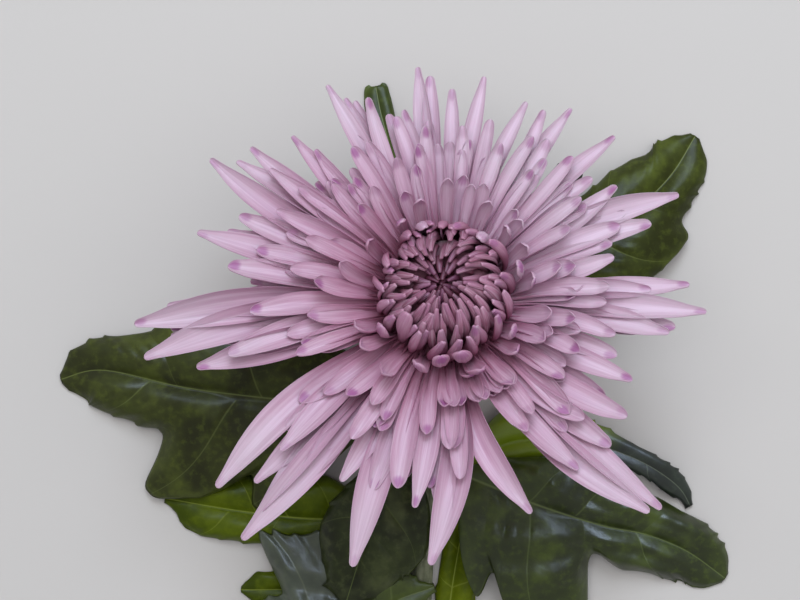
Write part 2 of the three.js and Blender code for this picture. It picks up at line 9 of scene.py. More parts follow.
import bpy
import numpy as np
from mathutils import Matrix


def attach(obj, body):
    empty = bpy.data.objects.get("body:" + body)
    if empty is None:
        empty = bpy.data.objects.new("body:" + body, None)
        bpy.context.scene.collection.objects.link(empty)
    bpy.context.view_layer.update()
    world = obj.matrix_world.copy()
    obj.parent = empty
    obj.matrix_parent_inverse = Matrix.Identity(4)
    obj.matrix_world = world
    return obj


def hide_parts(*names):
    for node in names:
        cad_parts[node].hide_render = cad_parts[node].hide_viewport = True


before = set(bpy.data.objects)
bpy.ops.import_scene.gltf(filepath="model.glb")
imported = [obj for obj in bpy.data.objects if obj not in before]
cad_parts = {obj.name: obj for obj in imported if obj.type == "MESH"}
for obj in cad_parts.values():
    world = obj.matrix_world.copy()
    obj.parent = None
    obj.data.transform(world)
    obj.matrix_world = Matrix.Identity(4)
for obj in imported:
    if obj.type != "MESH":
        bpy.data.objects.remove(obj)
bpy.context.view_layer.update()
MM = 0.001

# ---- driving dimensions, as in the solids where no comment says otherwise ----

EYE = 555  # plan places are those seen from this far above the bloom's middle
HEAD_HEIGHT = 48
HEAD_TILT = math.radians(15)
STEM_RADIUS = 2.7
STALK_THICKNESS = 1.8
CUP_FOOT = -18.5
BOWL_FOOT = -15.5
NEST_SHIFT = np.array([-1.0, -0.9])  # how far the middle of the button lies beside the bloom's axis
NEST_REACH = 18  # the shift fades out towards this radius

# Each ray floret's tip: azimuth in degrees, reach, and the sideways bow of its length.
RAYS = [
    (1, 61, 0), (1, 41, 1), (11, 43, -1), (12, 30.5, 0), (17.5, 54, 1), (18, 22, 0), (22, 63, 3),
    (26.5, 35, 0), (31, 50, -2), (34, 41, 0), (37, 46, 1), (42, 27.5, 0), (42, 57, 0), (45.5, 24.5, 0),
    (46, 46, -1), (53.5, 37, 0), (55, 18.5, 0), (55, 55, 1), (60, 44, 0), (61, 51, -1), (66.5, 51, 1),
    (69, 39, 0), (70, 29.5, 0), (75, 44, 0), (79.5, 54, 1), (80.5, 38, 0), (84, 41, -1), (88, 50, 0),
    (88.5, 29, 0), (94, 53.5, 0), (97, 56, 1), (97, 41, 0), (101, 36.5, 0), (103, 46, -1), (106, 45, 0),
    (108, 19.5, 0), (110.5, 35, 0), (112, 51.5, 1), (117.5, 54, 0), (118, 41.5, -1), (120, 59, 0),
    (123, 42.5, 0), (123.5, 23, 0), (129, 36, 0), (133, 47.5, 1), (135, 54, 0), (135.5, 31, 0),
    (137, 38.5, 0), (144, 60, 1), (145.5, 53, 0), (147, 25, 0), (148.5, 61, 0), (151, 67, 4),
    (155, 46.5, 0), (160.5, 54.5, 1), (160, 37, 0), (165.5, 28.5, 0), (167, 63.5, 1), (172.5, 39, 0),
    (174, 54.5, 0), (176, 33, 0), (183.5, 69.5, 0), (186.5, 78, -2), (186.5, 49, 0), (190.5, 35, 0),
    (193, 77, -4), (196, 41, 0), (197, 56.5, -1), (197.5, 65, 0), (202, 26, 0), (203.5, 40.5, 0),
    (213.5, 27, 0), (221, 75.5, -4), (221.5, 53, 0), (224.5, 57.5, 0), (227, 36, 0), (231, 80.5, 1),
    (233.5, 27.5, 0), (238, 44, 0), (241.5, 54.5, 0), (245, 36, 0), (248.5, 22, 0), (251.5, 73, -1),
    (256.5, 51, 0), (262, 55, 0), (266, 19, 0), (267, 69, 5), (269.5, 30, 0), (271.5, 40, 0),
    (274.5, 47.5, 1), (287, 30, 0), (291, 60, -5), (294.5, 24, 0), (300, 41, -2), (305, 38, 0),
    (306.5, 56, -4), (307, 30, 0), (312.5, 75.5, -6), (314.5, 77, -4), (316.5, 57, -3), (317, 47.5, -2),
    (320, 25.5, 0), (323.5, 37, 0), (325, 55.5, -4), (329, 22, 0), (333, 29, 0), (334, 52, -1),
    (335, 37, 0), (339, 46, 0), (345, 44, 0), (347.5, 33.5, 0), (348.5, 28.5, 0), (349, 57, 0),
    (355, 65.5, 0),
]

# The stem's middle line from the cut end to the neck, in plan places and heights.
STEM_ROUTE = [
    (-14, -230, STEM_RADIUS), (-10, -150, STEM_RADIUS), (-6.5, -85, STEM_RADIUS), (-4.6, -55, 3.3),
    (-3, -34, 6.2), (-1.5, -19, 11.8), (-0.4, -9.5, 20),
]

# Each leaf: the midrib's places from stalk to tip, and rows of (share of its length, reach of the left
# side, reach of the right side). `fall` is how much each side drops per millimetre of its reach. The
# midribs are the solids'. The rows of leaf_west, leaf_south, leaf_southeast, leaf_east, leaf_northeast and
# leaf_lower_west fit the photo more closely than the solids' rows. `finish` names one of LEAF_FINISHES,
# `size` one of LEAF_GRIDS, and add_leaf explains the rest.
LEAVES = {
    "leaf_west": dict(
        rib=[(-1, -31, 6.4), (-15, -29.5, 10.5), (-39.5, -27.5, 9.5), (-64, -24.5, 7), (-87, -20, 2.5),
            (-96, -22.3, 0.5)],
        blade=[(0, 1.3, 1.3), (0.1, 1.5, 1.5), (0.17, 10, 12), (0.24, 28, 23), (0.31, 33.5, 22),
            (0.352, 24.5, 20.5), (0.39, 31, 23.5), (0.46, 36.3, 26), (0.516, 37, 25.2), (0.544, 33.8, 24.3),
            (0.566, 25.9, 23.5), (0.6, 17.4, 21.5), (0.65, 16.4, 18.4), (0.7, 16.1, 16), (0.75, 16.2, 14),
            (0.83, 12.8, 10.8), (0.905, 9.3, 7.8), (0.96, 6.2, 5.2), (1, 1.2, 1.2)],
        fall=(0.08, 0.02), finish="deep", size=3,
    ),
    "leaf_southwest": dict(
        rib=[(-5, -57, 3.2), (-16, -57, 4), (-35, -57, 3), (-52, -55, 2.2), (-70, -52, 0.6)],
        blade=[(0, 1.3, 1.3), (0.16, 1.5, 1.5), (0.24, 6, 10), (0.34, 7, 14), (0.42, 7.6, 12),
            (0.52, 9.7, 13), (0.64, 11, 13), (0.74, 11.4, 11), (0.81, 9.4, 9.5), (0.92, 4.6, 6.5),
            (1, 0.8, 0.8)],
        fall=(0.02, 0.02), finish="lime", size=2,
    ),
    "leaf_south": dict(
        rib=[(-5, -38, 5), (-10, -44, 11), (-14, -50, 13), (-18.5, -58, 13.5), (-21, -66, 12.5),
            (-25, -79, 10)],
        blade=[(0, 1.3, 1.3), (0.1, 1.5, 1.5), (0.19, 14, 8), (0.28, 19, 10.4), (0.4, 20, 13.2),
            (0.5, 18, 14.2), (0.61, 14.8, 12.8), (0.76, 11, 10), (0.9, 6.2, 6.6), (1, 0.8, 0.8)],
        fall=(0, 0.04), finish="dusk", size=2,
    ),
    "leaf_southeast": dict(
        rib=[(0, -44, 4.3), (6, -46.7, 8), (14, -50, 9.3), (24, -54, 8.8), (40, -59, 6.8), (50, -61, 5),
            (60, -65, 3), (70, -72, 0.5)],
        blade=[(0, 1.3, 1.3), (0.06, 1.5, 8), (0.1, 7, 30), (0.165, 11, 24), (0.22, 14, 38),
            (0.3, 16, 38), (0.4, 14.4, 34), (0.424, 14.8, 24.4), (0.452, 15, 14.6), (0.56, 14, 13.1),
            (0.66, 12, 14.3), (0.78, 11.2, 11.6), (0.87, 8.2, 8.4), (0.93, 6.6, 6.8), (0.97, 4.6, 4.8),
            (1, 1.4, 1.4)],
        fall=(0.05, 0.12), finish="waxy", size=3, folds=1.1,
    ),
    "leaf_east": dict(
        rib=[(-1, -53, 3.3), (3, -47, 3.6), (10, -41, 4.4), (18, -38, 4.6), (34, -38, 5), (46, -41.5, 5),
            (54, -45.8, 4), (59, -50, 2), (61.3, -54, 0.5)],
        blade=[(0, 1, 1), (0.17, 1.2, 1.2), (0.24, 8, 5), (0.34, 12, 6), (0.44, 9, 4.5), (0.56, 6.5, 5),
            (0.68, 4.6, 4.6), (0.78, 4.4, 4.6), (0.88, 3.4, 3.8), (1, 0.8, 0.8)],
        finish="bank", folds=0.8, tooth_gap=5,
    ),
    "leaf_northeast": dict(
        rib=[(-1.2, -21, 10.4), (8, -12, 14.5), (20, -3, 13.5), (38, 12, 10), (51, 23, 5.5),
            (57, 29.5, 3), (62.5, 38.5, 0.5)],
        blade=[(0, 1.3, 1.3), (0.12, 1.5, 1.5), (0.18, 7, 10), (0.26, 10, 18), (0.33, 8, 15),
            (0.42, 12, 20), (0.5, 15, 21), (0.57, 15, 21.2), (0.63, 16, 20.2), (0.67, 15.5, 18.5),
            (0.7, 15, 14.7), (0.77, 12.5, 12.3), (0.84, 10.5, 9.8), (0.91, 7.8, 7.8), (0.96, 5.2, 5.4),
            (1, 1.4, 1.4)],
        fall=(0.04, 0.06), finish="fresh", size=3,
    ),
    "leaf_north": dict(
        rib=[(-1, -13, 15.6), (-6, 2, 16), (-9.5, 15, 11.5), (-13.6, 35, 4.5), (-16.2, 45, 1.6),
            (-17.3, 51, 0.5)],
        blade=[(0, 1.3, 1.3), (0.2, 1.5, 1.5), (0.32, 3.8, 3.4), (0.5, 5.4, 4.6), (0.62, 4.8, 4.2),
            (0.78, 5.4, 4.8), (0.9, 5.6, 5.4), (0.96, 4.2, 4.2), (1, 0.9, 0.9)],
        fall=(0.2, 0.1), finish="moss", tooth=0,
    ),
    "leaf_north_tall": dict(
        rib=[(0, -12, 16.6), (2, 2, 21), (3.5, 15, 20), (6, 35, 17)],
        blade=[(0, 1.3, 1.3), (0.26, 1.5, 1.5), (0.38, 7, 6), (0.5, 8.5, 8), (0.6, 6, 6.5),
            (0.72, 8.5, 8), (0.84, 8, 7.5), (0.93, 4, 4), (1, 0.8, 0.8)],
        fall=(0.05, 0.05), finish="lime",
    ),
    "leaf_northeast_small": dict(
        rib=[(1, -15, 14.3), (8, -3, 18.5), (20, 12, 18.5), (34, 33, 16)],
        blade=[(0, 1.3, 1.3), (0.28, 1.4, 1.4), (0.4, 5, 5), (0.52, 7, 6.5), (0.62, 5, 5), (0.74, 6.5, 6),
            (0.86, 5, 4.5), (1, 0.8, 0.8)],
        fall=(0.03, 0.03), finish="dusk",
    ),
    "leaf_northwest": dict(
        rib=[(-1.5, -17, 12.8), (-8, -6, 17.5), (-20, 8, 17), (-37, 26, 14)],
        blade=[(0, 1.3, 1.3), (0.22, 1.4, 1.4), (0.34, 6, 5), (0.48, 8, 7), (0.58, 6, 5.5), (0.7, 8, 7),
            (0.84, 6, 5.5), (1, 0.8, 0.8)],
        fall=(0.04, 0.04), finish="deep",
    ),
    "leaf_lower_west": dict(
        rib=[(-9, -100, 2.7), (-16, -93.5, 3.4), (-27, -87, 6), (-39, -84, 6), (-53, -87, 0.6)],
        blade=[(0, 1.3, 1.3), (0.14, 1.5, 1.5), (0.22, 8, 15), (0.32, 12, 27.4), (0.4, 13, 30.4),
            (0.46, 13, 29), (0.53, 12.6, 29.4), (0.56, 12.8, 29), (0.575, 13, 20), (0.59, 13.2, 13),
            (0.61, 13.6, 11), (0.66, 13, 10.6), (0.74, 10.2, 10), (0.88, 6.8, 7), (1, 0.8, 0.8)],
        fall=(0.12, 0.04), finish="slate", size=3, folds=1.2, tooth=2.2, tooth_gap=3.7,
        sweep=(70, 22),
    ),
    "leaf_lower_west_small": dict(
        rib=[(-9, -90, 2.2), (-18, -82, 0.9), (-33, -75.5, 0.6), (-51, -74.8, 0.5)],
        blade=[(0, 0.9, 0.9), (0.2, 1.2, 1.2), (0.34, 5, 5), (0.5, 8, 7), (0.62, 6, 5.5), (0.76, 6, 6.5),
            (0.9, 4, 4.5), (1, 0.8, 0.8)],
        finish="lime",
    ),
    "leaf_lower_curled": dict(
        rib=[(-9.5, -108, 2.7), (-14.5, -99, 6.6), (-19, -89, 8.6), (-14, -79, 8.8), (-2.5, -74, 8)],
        blade=[(0, 1.3, 1.3), (0.2, 1.5, 1.5), (0.34, 5, 4), (0.5, 6.5, 6.5), (0.64, 7, 7),
            (0.75, 9.8, 5.8), (0.84, 5.8, 4.6), (0.93, 2.6, 2.6), (1, 0.7, 0.7)],
        finish="waxy", folds=1.2, tooth=1.4, tooth_gap=4,
    ),
    "leaf_lower_east": dict(
        rib=[(-6, -110, 1.6), (-0.5, -99, 1), (1, -80, 0.8), (3.5, -64, 0.7), (6, -52, 0.6)],
        blade=[(0, 0.9, 0.9), (0.14, 1.2, 1.2), (0.26, 4.4, 9), (0.4, 5.4, 11.5), (0.5, 4.8, 8.5),
            (0.62, 5.4, 10), (0.78, 5.4, 7), (0.9, 3.6, 4.4), (1, 0.8, 0.8)],
        finish="bright",
    ),
}

# ---- small helpers ----

SPLINE_STEPS = 80  # between two points of a spline
CUT_END = 1.5  # vertices this near to the stem's low end in Y belong to its cut face


def draw(n, k):
    """A repeatable draw from 0 to 1 for the item n and the purpose k, by the same rule as in the solids."""
    value = math.sin(n * 12.9898 + k * 78.233) * 43758.5453
    return value - math.floor(value)


def mix(a, b, share):
    return a + (b - a) * share


def stray(size, n, k):
    """A repeatable draw from -size to size."""
    return mix(-size, size, draw(n, k))


def ease(low, high, value):
    """A soft step from 0 to 1 as the value goes from low to high."""
    share = np.clip((value - low) / (high - low), 0, 1)
    return share * share * (3 - 2 * share)


def unit(vectors):
    return vectors / np.linalg.norm(vectors, axis=-1, keepdims=True)


def facing(turn):
    """Unit vectors outward and to the left at a bearing about the bloom's axis."""
    x, y = math.cos(turn), math.sin(turn)
    return np.array([x, y, 0]), np.array([-y, x, 0])


def seen(place):
    """The place at height z that lies under [x, y] on the bloom's level when seen from the eye."""
    x, y, z = place
    spread = (EYE + HEAD_HEIGHT - z) / EYE
    return np.array([x * spread, y * spread, z])


def smooth(rows, x):
    """A smooth curve through rows of (place, value), read at x."""
    places, values = np.array(rows, float).T
    slopes = np.gradient(values, places)
    k = np.clip(np.searchsorted(places, x) - 1, 0, len(places) - 2)
    gap = places[k + 1] - places[k]
    s = np.clip((x - places[k]) / gap, 0, 1)
    start = values[k] * (1 + 2 * s) * (1 - s) ** 2 + slopes[k] * gap * s * (1 - s) ** 2
    end = values[k + 1] * s * s * (3 - 2 * s) + slopes[k + 1] * gap * s * s * (s - 1)
    return start + end


def spline(points, shares):
    """Places and unit tangents at shares of the length of the centripetal spline that the solids follow."""
    p = np.array(points, float)
    p = np.vstack([2 * p[0] - p[1], p, 2 * p[-1] - p[-2]])
    s = np.linspace(0, 1, SPLINE_STEPS, endpoint=False)[:, None]
    dense = []
    for k in range(1, len(p) - 2):
        a, b, c, d = p[k - 1:k + 3]
        before, here, after = (np.linalg.norm(q - r) ** 0.5 for q, r in ((b, a), (c, b), (d, c)))
        start = ((b - a) / before - (c - a) / (before + here) + (c - b) / here) * here
        end = ((c - b) / here - (d - b) / (here + after) + (d - c) / after) * here
        dense.append(b + start * s + (3 * (c - b) - 2 * start - end) * s ** 2
                     + (2 * (b - c) + start + end) * s ** 3)
    dense = np.vstack(dense + [p[-2:-1]])
    steps = np.linalg.norm(np.diff(dense, axis=0), axis=1)
    run = np.concatenate([[0], np.cumsum(steps)]) / steps.sum()
    tangents = unit(np.gradient(dense, run, axis=0))
    read = [np.interp(shares, run, column) for column in dense.T]
    aimed = [np.interp(shares, run, column) for column in tangents.T]
    return np.stack(read, -1), unit(np.stack(aimed, -1))


def on_bloom(places):
    """Places in the bloom's own frame, moved to the layout."""
    x, y, z = np.moveaxis(np.asarray(places, float), -1, 0)
    c, s = math.cos(HEAD_TILT), math.sin(HEAD_TILT)
    return np.stack([x, y * c + z * s, HEAD_HEIGHT - y * s + z * c], -1)


def layout_origin():
    """The layout's origin in the row frame: the middle of the stem's cut end is a known place in it."""
    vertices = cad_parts["stem"].data.vertices
    points = np.array([vertex.co for vertex in vertices]) / MM
    end = points[points[:, 1] < points[:, 1].min() + CUT_END]
    end = np.unique(end.round(3), axis=0)
    middle = (end.max(axis=0) + end.min(axis=0)) / 2
    return np.append((middle - seen(STEM_ROUTE[0]))[:2], 0)


ORIGIN = layout_origin()

# ---- meshes ----

TUBE_END = 0.02  # the share of its size that a tube's end is drawn in to
TURNED_SIDES = 48


def add_object(name, data):
    made = bpy.data.objects.new(name, data)
    bpy.context.scene.collection.objects.link(made)
    return made


class Heap:
    """Closed bodies gathered into one mesh, with the named values of their vertices."""

    def __init__(self):
        self.points = []
        self.quads = []
        self.values = {}
        self.total = 0

    def add(self, points, quads, **values):
        self.points.append(points)
        self.quads.append(quads + self.total)
        for name, value in values.items():
            self.values.setdefault(name, []).append(np.broadcast_to(value, len(points)))
        self.total += len(points)

    def piece(self, name, material, slot, *nodes):
        """Makes the mesh object, which shows in place of the solids of these nodes."""
        points = (np.vstack(self.points) + ORIGIN) * MM
        quads = np.vstack(self.quads)
        mesh = bpy.data.meshes.new(name)
        mesh.from_pydata(points.tolist(), [], quads.tolist())
        mesh.validate()
        for key, parts in self.values.items():
            layer = mesh.attributes.new(key, "FLOAT", "POINT")
            layer.data.foreach_set("value", np.concatenate(parts).astype(np.float32))
        mesh.shade_smooth()
        mesh.materials.append(material)
        made = add_object(name, mesh)
        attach(made, "root")
        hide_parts(*nodes)


def sheet_quads(rows, columns):
    """The quads of a closed sheet: an upper grid and a lower one that share their rim."""
    upper = np.arange(rows * columns).reshape(rows, columns)
    lower = upper.copy()
    inner = np.arange((rows - 2) * (columns - 2)).reshape(rows - 2, columns - 2)
    lower[1:-1, 1:-1] = rows * columns + inner

    def quads(grid):
        return np.stack([grid[:-1, :-1], grid[1:, :-1], grid[1:, 1:], grid[:-1, 1:]], -1).reshape(-1, 4)

    return np.vstack([quads(upper), quads(lower)[:, ::-1]])


def add_sheet(heap, upper, lower, **values):
    """Adds the closed sheet between two grids of points. Each value is a number or a grid."""
    rows, columns = upper.shape[:2]
    both = {}
    for name, value in values.items():
        grid = np.broadcast_to(value, (rows, columns))
        both[name] = np.append(grid.ravel(), grid[1:-1, 1:-1].ravel())
    points = np.vstack([upper.reshape(-1, 3), lower[1:-1, 1:-1].reshape(-1, 3)])
    heap.add(points, sheet_quads(rows, columns), **both)


def add_tube(heap, rings):
    """Adds a closed tube through rings of points, with its two ends drawn in to their middles."""
    count, sides = rings.shape[:2]
    ends = [rings[k].mean(axis=0) + (rings[k] - rings[k].mean(axis=0)) * TUBE_END for k in (0, -1)]
    rings = np.vstack([ends[0][None], rings, ends[1][None]])
    grid = np.arange((count + 2) * sides).reshape(count + 2, sides)
    beside = np.roll(grid, -1, axis=1)
    quads = np.stack([grid[:-1], beside[:-1], beside[1:], grid[1:]], -1).reshape(-1, 4)
    loop = np.arange(sides)
    caps = np.array([[loop[k], loop[-1 - k], loop[-2 - k], loop[k + 1]] for k in range(sides // 2 - 1)])
    last = (count + 1) * sides
    heap.add(rings.reshape(-1, 3), np.vstack([quads, caps, caps[:, ::-1] + last]))


def add_turned(heap, profile, sides=TURNED_SIDES):
    """Adds a body of revolution about the bloom's axis through a profile of (radius, height)."""
    angle = np.linspace(0, 2 * math.pi, sides, endpoint=False)
    rings = np.array([[(r * math.cos(a), r * math.sin(a), z) for a in angle] for r, z in profile])
    add_tube(heap, on_bloom(rings))


# ---- materials ----


def srgb(red, green, blue):
    """A colour given as it shows on a screen, from 0 to 255, as linear values."""
    def linear(value):
        value /= 255
        return value / 12.92 if value <= 0.04045 else ((value + 0.055) / 1.055) ** 2.4
    return (linear(red), linear(green), linear(blue), 1)


class Shade:
    """Builds a node material with short calls."""

    def __init__(self, name):
        self.material = bpy.data.materials.new(name)
        self.material.use_nodes = True
        self.nodes = self.material.node_tree.nodes
        self.links = self.material.node_tree.links
        self.shader = self.nodes["Principled BSDF"]

    def put(self, socket, value):
        """Links a socket's output to this one, or sets it to a constant."""
        if isinstance(value, bpy.types.NodeSocket):
            self.links.new(value, socket)
        else:
            socket.default_value = value

    def set(self, **values):
        """Puts values on the shader's own sockets, with _ for each space in their names."""
        for name, value in values.items():
            self.put(self.shader.inputs[name.replace("_", " ")], value)

    def make(self, kind, values=(), **settings):
        """A new node with these settings, and these values on its first sockets or on those they name."""
        node = self.nodes.new("ShaderNode" + kind)
        for name, setting in settings.items():
            setattr(node, name, setting)
        for key, value in values.items() if isinstance(values, dict) else enumerate(values):
            self.put(node.inputs[key], value)
        return node

    def read(self, name):
        return self.make("Attribute", attribute_name=name).outputs["Fac"]

    def place(self):
        return self.make("TexCoord").outputs["Object"]

    def math(self, operation, a, b=0.0, c=0.0):
        return self.make("Math", (a, b, c), operation=operation).outputs[0]

    def times(self, a, b):
        return self.math("MULTIPLY", a, b)

    def step(self, value, low, high, start=0.0, end=1.0):
        """A soft step from start to end as the value goes from low to high."""
        values = (value, low, high, start, end)
        return self.make("MapRange", values, interpolation_type="SMOOTHSTEP").outputs[0]

    def join(self, x, y, z):
        return self.make("CombineXYZ", (x, y, z)).outputs[0]

    def noise(self, vector, scale, detail, roughness=0.5):
        values = {"Vector": vector, "Scale": scale, "Detail": detail, "Roughness": roughness}
        return self.make("TexNoise", values).outputs[0]

    def blend(self, share, a, b):
        node = self.make("Mix", {"Factor": share}, data_type="RGBA")
        for socket, value in zip([socket for socket in node.inputs if socket.type == "RGBA"], (a, b)):
            self.put(socket, value)
        return [socket for socket in node.outputs if socket.type == "RGBA"][0]

    def ramp(self, value, stops):
        node = self.make("ValToRGB", (value,))
        node.color_ramp.interpolation = "EASE"
        elements = node.color_ramp.elements
        elements[0].position, elements[0].color = stops[0]
        elements[1].position, elements[1].color = stops[-1]
        for position, color in stops[1:-1]:
            elements.new(position).color = color
        return node.outputs[0]

    def bump(self, height, distance, strength, under=None):
        values = {"Height": height, "Distance": distance, "Strength": strength}
        if under is not None:
            values["Normal"] = under
        return self.make("Bump", values).outputs[0]


PETAL_STREAK = srgb(228, 208, 226)
PETAL_SHADE = srgb(146, 94, 130)
PETAL_LINE = srgb(226, 208, 224)
PETAL_PINK = srgb(178, 128, 160)
# the colour of the painted highlight down the middles of the petals on the lit side
PAINTED_HIGHLIGHT = srgb(226, 200, 222)
TONE_SHIFT = 40.0  # how far the pattern moves on from a petal of tone 0 to one of tone 1
BLOTCH_FROM_TIP = 1.5
BLOTCH_LENGTH = 1.4
BLOTCH_WIDTH = 0.55  # as a share of the petal's half width


def petal_lines(shade, body, across, tone, opened):
    """The body with lengthwise lines, the bright ones where it has opened, and the broad lines' noise."""
    lane = shade.join(shade.times(across, 2.6), shade.times(shade.read("along"), 1.2),
                      shade.times(tone, TONE_SHIFT))
    streak = shade.noise(lane, 2.0, 2.0)
    bright = shade.times(shade.step(streak, 0.45, 0.7, 0.0, 0.26), opened)
    body = shade.blend(bright, body, PETAL_STREAK)
    body = shade.blend(shade.step(streak, 0.5, 0.25, 0.0, 0.2), body, PETAL_SHADE)
    lines = shade.noise(shade.join(shade.times(across, 9.0), shade.read("along"),
                                   shade.times(tone, TONE_SHIFT)), 1.6, 1.0)
    bright = shade.times(shade.step(lines, 0.42, 0.72, 0.0, 0.14), opened)
    return shade.blend(bright, body, PETAL_LINE), streak


def tip_blotch(shade, across, tone, streak):
    """How much the blotch shows: near the tip, to one side by the petal's tone, and with a ragged edge."""
    off = shade.math("SUBTRACT", across, shade.math("MULTIPLY_ADD", tone, 0.7, -0.35))
    wide = shade.math("POWER", shade.math("DIVIDE", off, BLOTCH_WIDTH), 2.0)
    from_middle = shade.math("SUBTRACT", shade.read("tip"), BLOTCH_FROM_TIP)
    far = shade.math("POWER", shade.math("DIVIDE", from_middle, BLOTCH_LENGTH), 2.0)
    wander = shade.math("MULTIPLY_ADD", streak, 1.6, -0.8)
    reach = shade.math("ADD", shade.math("ADD", wide, far), wander)
    return shade.times(shade.step(reach, 2.4, 0.0), shade.read("mark"))


def petal_material(name, stops, mark):
    """A satin petal: deep mauve, partly painted shade, where `pale` is low, with soft lengthwise lines, a
    painted highlight down the middles on the lit side and a blotch at its tip.
    """
    shade = Shade(name)
    across = shade.read("across")
    tone = shade.read("tone")
    pale = shade.read("pale")
    body = shade.ramp(pale, stops)
    opened = shade.step(pale, 0.1, 0.6)
    body, streak = petal_lines(shade, body, across, tone, opened)
    body = shade.blend(shade.times(shade.times(tone, 0.2), opened), body, PETAL_PINK)
    # painted highlight: a pale band down the middle of each petal, strongest on the lit side
    highlight_band = shade.step(shade.math("ABSOLUTE", across), 0.85, 0.1)
    body = shade.blend(shade.times(highlight_band, shade.read("faded")), body, PAINTED_HIGHLIGHT)
    body = shade.blend(tip_blotch(shade, across, tone, streak), body, mark)
    shade.set(Base_Color=body, Roughness=0.5, Specular_IOR_Level=0.3, Subsurface_Weight=0.2,
              Subsurface_Radius=(1.0, 0.55, 0.75), Subsurface_Scale=1.4 * MM)
    fine = shade.noise(shade.join(shade.times(across, 7.0), shade.read("along"), tone), 2.0, 2.0)
    shade.set(Normal=shade.bump(fine, 0.15 * MM, 0.3))
    return shade.material


def leaf_tissue(shade, broad, spots, grain, dark, light, patch):
    """A blade's green: broad mottling, brighter patches and a fine grain."""
    body = shade.blend(shade.step(broad, 0.36, 0.66), dark, light)
    body = shade.blend(shade.step(spots, 0.52, 0.74, 0.0, 0.6), body, patch)
    body = shade.blend(shade.step(grain, 0.48, 0.72, 0.0, 0.36), body, patch)
    return shade.blend(shade.step(grain, 0.5, 0.28, 0.0, 0.3), body, dark)


def leaf_veins(shade, body, light, vein):
    """The body with side veins, the midrib and a thin pale margin. `to_vein` and `to_rib` are in mm."""
    side = shade.read("to_vein")
    middle = shade.math("ABSOLUTE", shade.read("to_rib"))
    body = shade.blend(shade.step(side, 0.2, 1.6, 0.25, 0.0), body, light)
    slim = shade.step(shade.read("margin"), 0.0, 1.0, 0.36, 0.1)
    body = shade.blend(shade.step(side, slim, 0.0, 0.0, 0.45), body, vein)
    wide = shade.step(shade.read("along"), 0.0, 1.0, 0.6, 0.22)
    body = shade.blend(shade.step(middle, wide, 0.0, 0.0, 0.85), body, vein)
    return shade.blend(shade.step(shade.read("margin"), 0.97, 1.0, 0.0, 0.4), body, vein)


def leaf_material(name, gloss, dark, light, patch, vein, root=None):
    """A glossy leaf: mottling, brighter patches and thin pale veins. Its inner half may be paler, partly
    painted light.
    """
    shade = Shade(name)
    place = shade.place()
    broad = shade.noise(place, 60.0, 3.0)
    spots = shade.noise(place, 90.0, 2.0)
    grain = shade.noise(place, 480.0, 3.0, 0.62)
    body = leaf_tissue(shade, broad, spots, grain, dark, light, patch)
    body = leaf_veins(shade, body, light, vein)
    if root:
        body = shade.blend(shade.step(shade.read("along"), 0.68, 0.5), body, root)
    shade.set(Base_Color=body, Roughness=shade.step(spots, 0.3, 0.7, 0.28, 0.4), Specular_IOR_Level=gloss)
    relief = shade.bump(broad, 0.6 * MM, 0.4)
    shade.set(Normal=shade.bump(grain, 0.25 * MM, 0.35, under=relief))
    return shade.material


def plant_material(name, dark, light, scale, roughness):
    """Plain tissue, mottled from dark to light."""
    shade = Shade(name)
    place = shade.place()
    grain = shade.noise(place, scale, 4.0, 0.6)
    body = shade.blend(shade.step(grain, 0.35, 0.65), dark, light)
    shade.set(Base_Color=body, Roughness=roughness, Sheen_Weight=0.25)
    shade.set(Normal=shade.bump(grain, 0.3 * MM, 0.5))
    return shade.material


# ---- petals ----

RAY_GRID = (34, 17)  # points along a petal and across it
PLAIN_GRID = (25, 13)  # for short petals and those that lie under the others
PETAL_THICKNESS = 0.5
RIDGE_HEIGHT = 0.14
OUTER_REACH = 50  # petals that reach farther go into petals_outer
MIDDLE_REACH = 32
FILLERS = 96  # tried, one after the other at the golden angle
FILLER_DRAWS = 200  # the fillers, the button's florets and the bracts are numbered for draws from these on
FINGER_DRAWS = 301
BRACT_DRAWS = 500
GOLDEN_ANGLE = 137.508
FILLER_SINK = 2.2
BARE_ARC = (274, 304)  # azimuths, in degrees, between which fillers reach no farther than BARE_REACH
BARE_REACH = 30
LIT_SIDE = 45  # the azimuth, in degrees, of the side whose petals are painted paler, as painted light falling most on that side

# Shares of the length with the breadth there of a long petal and of a short one, and the roll: the half
# angle, in radians, that its section is bent through.
RAY_BREADTH = [(0, 0.4, 0.48), (0.18, 0.47, 0.55), (0.36, 0.72, 0.74), (0.54, 0.97, 0.9), (0.66, 1, 1),
               (0.78, 0.85, 0.97), (0.88, 0.58, 0.87), (0.95, 0.33, 0.7), (1, 0.18, 0.5)]
RAY_ROLL = [(0, 2.3), (0.15, 1.7), (0.36, 1.05), (0.6, 0.8), (0.8, 0.75), (0.93, 0.95), (1, 1.2)]


def petal_axes(line, level, share, twist):
    """A petal's middle line, and the directions across it and out of its face."""
    middle = line(share)
    ahead = unit(line(share + 0.01) - line(share - 0.01))
    side = unit(level - ahead * (ahead @ level)[:, None])
    face = np.cross(ahead, side)
    turn = np.asarray(twist(share))[:, None]
    return (middle, side * np.cos(turn) + face * np.sin(turn),
            face * np.cos(turn) - side * np.sin(turn))


